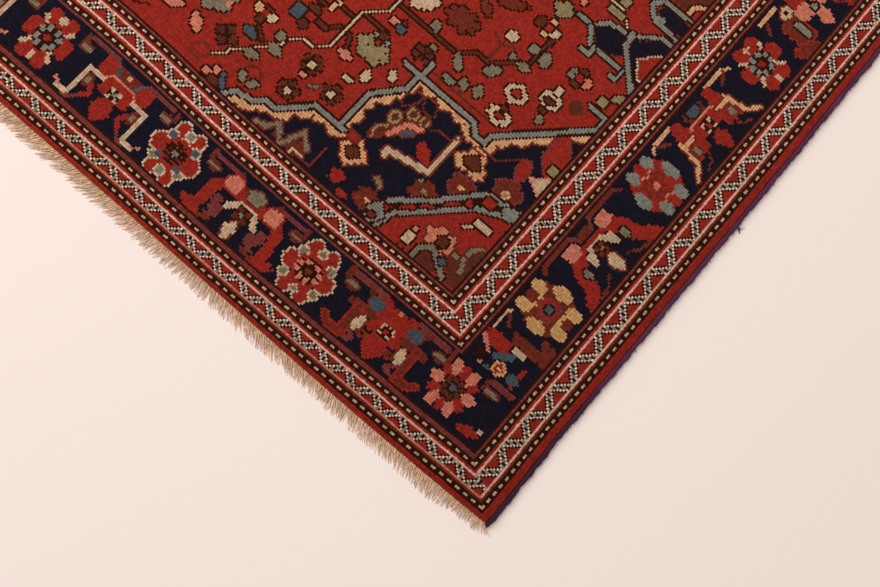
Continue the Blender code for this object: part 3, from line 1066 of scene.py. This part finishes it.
class RugSizes(bpy.types.PropertyGroup):
    """Sizes that a maker would change."""
    fringe: FloatProperty(name="Fringe", description="Longest fringe thread, past the end",
                          default=15.8 * MM, unit="LENGTH")
    thread: FloatProperty(name="Thread", description="Thickness of a fringe thread",
                          default=1.0 * MM, unit="LENGTH")
    threads: IntProperty(name="Threads", description="Fringe threads at each end",
                         default=1500, min=10, max=3000)
    wrap: FloatProperty(name="Wrap", description="From one turn of overcasting to the next",
                        default=2.0 * MM, unit="LENGTH")
    wear: FloatProperty(name="Wear", description="How far the pile's top dips where it is worn",
                        default=0.35 * MM, unit="LENGTH")


def dye_property(label, use, colour):
    return FloatVectorProperty(name=label, description=use, default=colour, size=3,
                               min=0.0, max=1.0, subtype="COLOR")


class RugColours(bpy.types.PropertyGroup):
    """Dyes of the wool and the colours of the other yarns."""
    navy: dye_property("Navy", "Ground of the border and corners", (0.0065, 0.0050, 0.0105))
    blue: dye_property("Blue", "Small flowers", (0.0450, 0.0590, 0.0720))
    grey: dye_property("Grey blue", "Outlines", (0.1560, 0.1440, 0.1170))
    sage: dye_property("Sage", "Leaves", (0.1450, 0.1100, 0.0700))
    olive: dye_property("Olive", "Leaves and rings", (0.1940, 0.1390, 0.0635))
    red: dye_property("Red", "Ground of the field", (0.2200, 0.0152, 0.0090))
    brick: dye_property("Brick", "Scrolls and stems", (0.1150, 0.0170, 0.0083))
    wine: dye_property("Wine", "Thin stripes and faded leaves", (0.1350, 0.0250, 0.0210))
    pink: dye_property("Pink", "Petals and thin lines", (0.4230, 0.1260, 0.0790))
    camel: dye_property("Camel", "Scalloped band", (0.4510, 0.2230, 0.1080))
    ochre: dye_property("Ochre", "Petals", (0.4130, 0.2160, 0.0790))
    cream: dye_property("Cream", "Dashes and bars", (0.4000, 0.2620, 0.1620))
    blush: dye_property("Blush", "Thin lines", (0.5300, 0.2740, 0.2000))
    brown: dye_property("Brown", "Flowers", (0.0800, 0.0162, 0.0080))
    dark: dye_property("Dark brown", "Outlines and dashed stripes", (0.0220, 0.0045, 0.0014))
    white: dye_property("White", "Dotted lines", (0.5300, 0.3720, 0.2780))
    overcast: dye_property("Overcasting", "Wool around the long sides", (0.0755, 0.0140, 0.0410))
    warp: dye_property("Warp", "Cotton of the fringe", (0.6900, 0.4350, 0.2620))
    floor: dye_property("Floor", "Ground under the rug", (0.8300, 0.7040, 0.6500))


class RUG_OT_pile(bpy.types.Operator):
    """Knot the pile: a thin sheet, its knots coloured from the chart"""
    bl_idname = "rug.pile"
    bl_label = "Pile"
    EDGE_ROUND = 1.1 * MM
    UNDERSIDE = 0.6 * MM           # what lies lower than this is pressed flat onto the floor

    def execute(self, context):
        sizes, colours = context.scene.rug_sizes, context.scene.rug_colours
        bpy.ops.mesh.primitive_grid_add(x_subdivisions=BLOCKS_X, y_subdivisions=BLOCKS_Y, size=2)
        sheet = context.active_object
        sheet.name = sheet.data.name = "pile"
        mesh = sheet.data
        flat = read(mesh.vertices, "co", float, 3)
        columns = (1.0 - flat[:, 0]) / 2 * KNOTS_X
        rows = (1.0 + flat[:, 1]) / 2 * KNOTS_Y
        x, y = columns_to_x(columns, rows), rows_to_y(columns, rows)
        worn = 0.5 + 0.25 * np.sin(5.1 * x + 3.3 * y + 0.7) + 0.25 * np.sin(17 * x - 11 * y)
        z = THICKNESS - sizes.wear * worn
        mesh.vertices.foreach_set("co", points_of(x, y, z).ravel())
        self.place_knots(mesh, columns, rows)
        mesh.materials.append(pile_material([getattr(colours, name) for name in DYES]))
        solid = sheet.modifiers.new("Thickness", "SOLIDIFY")
        solid.thickness, solid.offset = THICKNESS - sizes.wear, -1.0
        bevel = sheet.modifiers.new("Edge", "BEVEL")
        bevel.width, bevel.segments, bevel.limit_method = self.EDGE_ROUND, 2, "ANGLE"
        bevel.angle_limit = math.radians(60)
        for modifier in ("Thickness", "Edge"):
            bpy.ops.object.modifier_apply(modifier=modifier)
        self.rest_on_floor(sheet.data)
        self.dye_faces(sheet.data)
        sheet.data.shade_smooth()
        hand_over(sheet, "rug_body")
        return {"FINISHED"}

    def rest_on_floor(self, mesh):
        """Press the whole underside flat onto the floor."""
        co = read(mesh.vertices, "co", float, 3)
        co[co[:, 2] < self.UNDERSIDE, 2] = 0.0
        mesh.vertices.foreach_set("co", co.ravel())
        mesh.update()

    def place_knots(self, mesh, columns, rows):
        """Give the mesh its knot coordinates."""
        corner = read(mesh.loops, "vertex_index", int, 1)
        while mesh.uv_layers:
            mesh.uv_layers.remove(mesh.uv_layers[0])
        layer = mesh.uv_layers.new(name="knots")
        layer.data.foreach_set("uv", np.stack([columns[corner], rows[corner]], axis=-1).ravel())

    def dye_faces(self, mesh):
        """Give each face the dyes of its block of knots."""
        uv = read(mesh.uv_layers["knots"].data, "uv", float, 2)
        start = read(mesh.polygons, "loop_start", int, 1)
        total = read(mesh.polygons, "loop_total", int, 1)
        middle = np.add.reduceat(uv, start) / total[:, None]
        block_x = np.clip(middle[:, 0] // BLOCK_X, 0, BLOCKS_X - 1).astype(int)
        block_y = np.clip(middle[:, 1] // BLOCK_Y, 0, BLOCKS_Y - 1).astype(int)
        blocks = weave_chart().reshape(BLOCKS_Y, BLOCK_Y, BLOCKS_X, BLOCK_X)
        packed = (blocks * 16 ** np.arange(BLOCK_X)).sum(axis=3).transpose(0, 2, 1)
        attribute = mesh.attributes.new("chart", "FLOAT_VECTOR", "FACE")
        attribute.data.foreach_set("vector", packed[block_y, block_x].astype(float).ravel())


class RUG_OT_overcasting(bpy.types.Operator):
    """Wrap the two long sides in wool, turn after turn"""
    bl_idname = "rug.overcasting"
    bl_label = "Overcast sides"
    SIDES = 10
    RINGS_PER_WRAP = 4
    SHORT_OF_END = 1.8 * MM
    # How far a wrap's ridge stands out, how uneven wraps are, and the cord's slow swelling
    RIDGE, UNEVEN, SWELL = 0.22 * MM, 0.16 * MM, 0.17 * MM
    HEADROOM, SIDEROOM = 0.5 * MM, 0.3 * MM    # kept free above and beside it for those
    UNDER_PILE, PILE_SIDE = 1.6, 0.35  # its inner side reaches under the pile and is squarer
    END_TAPER, END_CLOSING = 3.0 * MM, 0.6     # length of its rounded ends, and how far they close
    # Fibres that stand off the cord: how many, and their reach in millimetres
    FIBRES, FIBRE_REACH, FIBRE_RADIUS = 420, (0.6, 2.2), 0.22
    # and a wisp of loose wool among them: how many, where, how widely, their reach, how thick
    WISP, WISP_PLACE, WISP_SPREAD, WISP_REACH, WISP_THICK = 7, -605 * MM, 1.2, (3.0, 6.5), 1.6

    def execute(self, context):
        sizes, colours = context.scene.rug_sizes, context.scene.rug_colours
        wool = yarn_material("overcast_wool", colours.overcast, 1.3, 55.0, 900.0, 0.04, 0.5)
        for side, name, node in ((1, "overcast_right", "selvedge_right"),
                                 (-1, "overcast_left", "selvedge_left")):
            rng = np.random.default_rng(31 + side)
            tubes = self.wrapped_cord(side, rng, sizes.wrap), self.fibres(side, rng)
            edge_piece(name, tubes, wool, node)
        return {"FINISHED"}

    def wrapped_cord(self, side, rng, wrap):
        """The cord as one tube, ridged by its wraps."""
        reach = RUG_LENGTH / 2 - self.SHORT_OF_END
        rings = int(2 * reach / wrap) * self.RINGS_PER_WRAP
        y = np.linspace(-reach, reach, rings)[:, None]
        turn = (np.arange(self.SIDES) / self.SIDES * TAU)[None, :]
        jitter = np.repeat(rng.uniform(-1, 1, rings // self.RINGS_PER_WRAP + 1),
                           self.RINGS_PER_WRAP)[:rings, None]
        ridge = np.cos(TAU * y / wrap + turn * 0.5) * self.RIDGE + jitter * self.UNEVEN
        swell = (np.sin(101 * y + side) + np.sin(237 * y) + 0.8 * np.sin(531 * y)) * self.SWELL
        half = (CORD_WIDTH - PILE_OVER_CORD - GAP) / 2
        inner = np.minimum(side * np.cos(turn), 0.0)
        across = np.cos(turn) * (half - self.SIDEROOM + ridge + swell)
        across = across + side * inner * self.UNDER_PILE * MM
        rise = np.maximum(np.sin(turn), 0.0) ** np.where(inner < -0.01, self.PILE_SIDE, 1.0)
        up = CORD_HEIGHT - CORD_FOOT - self.HEADROOM
        height = np.where(np.sin(turn) >= 0, CORD_FOOT + rise * (up + ridge),
                          CORD_FOOT + np.sin(turn) * CORD_FOOT)
        height = np.maximum(height, 0.0)
        to_end = np.clip((np.abs(y) - (reach - self.END_TAPER)) / self.END_TAPER, 0, 1)
        closing = 1.0 - self.END_CLOSING * to_end ** 2
        x = side_edge(y, side, half - swell) + across * closing
        return points_of(x, y, height * closing), tube_faces(rings, self.SIDES)

    def fibres(self, side, rng):
        """Fibres that stand off the cord, and a wisp of loose wool on each side."""
        count, wisp = self.FIBRES, self.WISP
        y = rng.uniform(-1.0, 1.0, count) * (RUG_LENGTH / 2 - 8 * MM)
        spread = rng.uniform(-self.WISP_SPREAD, self.WISP_SPREAD, wisp) * MM
        y[:wisp] = side * self.WISP_PLACE + spread
        reach = rng.uniform(*self.FIBRE_REACH, count)
        reach[:wisp] = rng.uniform(*self.WISP_REACH, wisp)
        drift = rng.uniform(-1.0, 1.0, count) * reach
        share = np.linspace(0.0, 1.0, 5)[None, :]
        x = side_edge(y, side, 1.0 * MM)[:, None] + side * (reach[:, None] + 1) * share * MM
        y = y[:, None] + drift[:, None] * share ** 2 * MM
        z = (2.2 - 1.6 * share) * MM + 0.0 * x
        thick = np.where(np.arange(count) < wisp, self.WISP_THICK, 1.0)[:, None]
        radius = (self.FIBRE_RADIUS - 0.10 * share) * MM * thick
        return strands(x, y, z, radius, 3)


class RUG_OT_fringe(bpy.types.Operator):
    """Let the warps out at both ends as loose threads behind a woven strip"""
    bl_idname = "rug.fringe"
    bl_label = "Fringe"
    STATIONS, SIDES = 8, 4
    # How far threads lean to the right at the near end: places along it, and millimetres there
    LEAN_PLACES = (0, 40, 80, 130, 210, 310, 370, 430, 490, 570, 650, 760, 900, 1040, 1180, 1302)
    LEANS = (1, 3, 7, 11, 7, 12, 5, -4, -11, -13, -7, 5, 10, -2, -9, -4)
    # Smaller swings of that lean: how many along an end, and millimetres; and each thread's own
    LEAN_WAVES, OWN_LEAN = ((19, 0.9), (47, 0.45), (83, 0.3)), 1.6 * MM
    SPLAY, SPLAY_REACH = 10.0 * MM, 12 * MM    # threads splay outwards near the rug's corners
    # Threads gather in clumps, by a share of the way there, and each curls sideways
    CLUMP, GATHER, CURL = 3.6 * MM, (0.15, 0.55), 1.2 * MM
    LOSS, TAPER = 0.46, 0.60       # length and thickness that a thread may lose towards its tip
    # Threads are short near the corners: millimetres from the side, and share of their length
    SHORT_PLACES, SHORT_SHARES = (0, 6, 35, 60), (0.15, 0.54, 0.62, 1.0)
    ROOT_INSIDE, ROOT_HEIGHT = 0.4 * MM, 3.7 * MM
    # The woven strip: rings along it, sides, half width, middle's height, half height, ribs
    STRIP_RINGS, STRIP_SIDES, STRIP_HALF = 1300, 6, 1.45 * MM
    STRIP_MIDDLE, STRIP_RISE, STRIP_RIB = 1.3 * MM, 1.2 * MM, 0.12
    REACH = RUG_WIDTH / 2 - CORD_WIDTH + FRINGE_OVER_CORD

    def execute(self, context):
        sizes, colours = context.scene.rug_sizes, context.scene.rug_colours
        cotton = yarn_material("warp_cotton", colours.warp, 1.7, 420.0, 1500.0, run=0.3)
        for end, name, node in ((-1, "fringe_near", "fringe_front"),
                                (1, "fringe_far", "fringe_back")):
            tubes = self.threads(end, sizes), self.strip(end)
            edge_piece(name, tubes, cotton, node)
        return {"FINISHED"}

    def threads(self, end, sizes):
        """Single threads, rooted at the pile's end and falling to the floor."""
        rng = np.random.default_rng(7 + end)
        count = sizes.threads
        root = np.linspace(-self.REACH, self.REACH, count) + rng.uniform(-0.4, 0.4, count) * MM
        share = np.linspace(0.0, 1.0, self.STATIONS)[None, :]
        lean = np.interp(CHART_X + end * root / MM, self.LEAN_PLACES, self.LEANS) * MM
        for waves, size in self.LEAN_WAVES:
            phase = rng.uniform(0, TAU)
            lean += size * MM * np.sin(waves * root / self.REACH * math.pi + phase)
        lean += rng.normal(0.0, self.OWN_LEAN, count)
        to_side = self.REACH - np.abs(root)
        lean += self.SPLAY * np.exp(-to_side / self.SPLAY_REACH) * np.sign(root)
        gather = np.round(root / self.CLUMP) * self.CLUMP - root
        gather *= rng.uniform(*self.GATHER, count)
        curl = rng.uniform(-1, 1, (count, 1)) * np.sin(share * rng.uniform(3, 9, (count, 1)))
        x = root[:, None] + lean[:, None] * share ** 1.3
        x = x + gather[:, None] * np.sin(share * math.pi * 0.8) + curl * self.CURL * share
        length = sizes.fringe * (1.0 - self.LOSS * rng.random((count, 1)) ** 1.1)
        length = length * np.interp(to_side / MM, self.SHORT_PLACES, self.SHORT_SHARES)[:, None]
        start = end_edge(root, end, -self.ROOT_INSIDE)[:, None]
        y = start + (end * (RUG_LENGTH / 2 + length) - start) * share
        taper = 1.0 - self.TAPER * share ** 1.5
        radius = sizes.thread / 2 * taper * rng.uniform(0.8, 1.1, (count, 1))
        layer = rng.uniform(0.0, 1.0, (count, 1))
        height = radius + self.ROOT_HEIGHT * (1 - share) ** 2.4
        height = height + layer * MM * np.sin(share * math.pi) + layer * 0.5 * MM
        return strands(x, y, height, radius, self.SIDES)

    def strip(self, end):
        """The narrow woven strip, its warps showing as ribs."""
        x = np.linspace(-self.REACH, self.REACH, self.STRIP_RINGS)[:, None]
        turn = (np.arange(self.STRIP_SIDES) / self.STRIP_SIDES * TAU)[None, :]
        rib = 1.0 + self.STRIP_RIB * np.cos(np.arange(self.STRIP_RINGS) * math.pi)[:, None]
        y = end_edge(x, end, GAP + 0.5 * MM) + np.cos(turn) * self.STRIP_HALF
        z = self.STRIP_MIDDLE + np.sin(turn) * self.STRIP_RISE * rib
        return points_of(x, y, z), tube_faces(self.STRIP_RINGS, self.STRIP_SIDES)


class RUG_OT_stage(bpy.types.Operator):
    """Put down a pale floor, soft lights and the camera"""
    bl_idname = "rug.stage"
    bl_label = "Stage"
    FLOOR_SIZE = 14.0
    ROOM_COLOUR, ROOM_LIGHT = (1.0, 0.985, 0.97, 1.0), 0.62
    # The soft box: colour, size, power, place and tilt
    BOX_COLOUR, BOX_SIZE, BOX_POWER = (1.0, 0.97, 0.94), 2.6, 95.0
    BOX_PLACE, BOX_TILT = (-1.9, -0.4, 2.5), -36
    # The camera: its three axes, its place, focal length and film width in millimetres
    RIGHT = (0.7532, 0.6494, 0.1047)
    UP = (-0.6568, 0.7335, 0.1749)
    BACK = (0.0368, -0.2005, 0.9790)
    PLACE = (0.5129, -1.1143, 1.2094)
    FOCAL_LENGTH, FILM_WIDTH = 50.0, 36.0

    def execute(self, context):
        dismiss_selection()
        bpy.ops.mesh.primitive_plane_add(size=self.FLOOR_SIZE, location=(0, 0, 0))
        floor = context.active_object
        floor.name = floor.data.name = "floor"
        floor.data.materials.append(floor_material(context.scene.rug_colours.floor))
        self.add_lights(context.scene)
        self.add_camera(context.scene)
        return {"FINISHED"}

    def add_lights(self, scene):
        scene.world = bpy.data.worlds.new("studio")
        scene.world.use_nodes = True
        background = scene.world.node_tree.nodes["Background"]
        background.inputs["Color"].default_value = self.ROOM_COLOUR
        background.inputs["Strength"].default_value = self.ROOM_LIGHT
        light = bpy.data.lights.new("soft_box", "AREA")
        light.shape, light.size, light.energy = "SQUARE", self.BOX_SIZE, self.BOX_POWER
        light.color = self.BOX_COLOUR
        box = bpy.data.objects.new("soft_box", light)
        tilt = Matrix.Rotation(math.radians(self.BOX_TILT), 4, "Y")
        box.matrix_world = Matrix.Translation(self.BOX_PLACE) @ tilt
        scene.collection.objects.link(box)
        scene.view_settings.view_transform = "Standard"

    def add_camera(self, scene):
        data = bpy.data.cameras.new("camera")
        data.lens, data.sensor_width = self.FOCAL_LENGTH, self.FILM_WIDTH
        camera = bpy.data.objects.new("camera", data)
        axes = Matrix((self.RIGHT, self.UP, self.BACK)).transposed().to_4x4()
        camera.matrix_world = Matrix.Translation(self.PLACE) @ axes
        scene.collection.objects.link(camera)
        scene.camera = camera


class RUG_PT_panel(bpy.types.Panel):
    """The rug's sizes, colours and makers"""
    bl_idname = "RUG_PT_panel"
    bl_label = "Knotted rug"
    bl_space_type = "VIEW_3D"
    bl_region_type = "UI"
    bl_category = "Rug"

    def draw(self, context):
        for operator in OPERATORS:
            self.layout.operator(operator.bl_idname)
        for group in (context.scene.rug_sizes, context.scene.rug_colours):
            for name in group.__annotations__:
                self.layout.prop(group, name)


OPERATORS = (RUG_OT_stage, RUG_OT_pile, RUG_OT_overcasting, RUG_OT_fringe)
CLASSES = (RugSizes, RugColours, *OPERATORS, RUG_PT_panel)


def register():
    for cls in CLASSES:
        bpy.utils.register_class(cls)
    bpy.types.Scene.rug_sizes = bpy.props.PointerProperty(type=RugSizes)
    bpy.types.Scene.rug_colours = bpy.props.PointerProperty(type=RugColours)


def unregister():
    del bpy.types.Scene.rug_sizes, bpy.types.Scene.rug_colours
    for cls in reversed(CLASSES):
        bpy.utils.unregister_class(cls)


def main():
    register()
    dismiss_selection()
    bpy.ops.rug.stage()
    bpy.ops.rug.pile()
    bpy.ops.rug.overcasting()
    bpy.ops.rug.fringe()


if __name__ == "__main__":
    main()
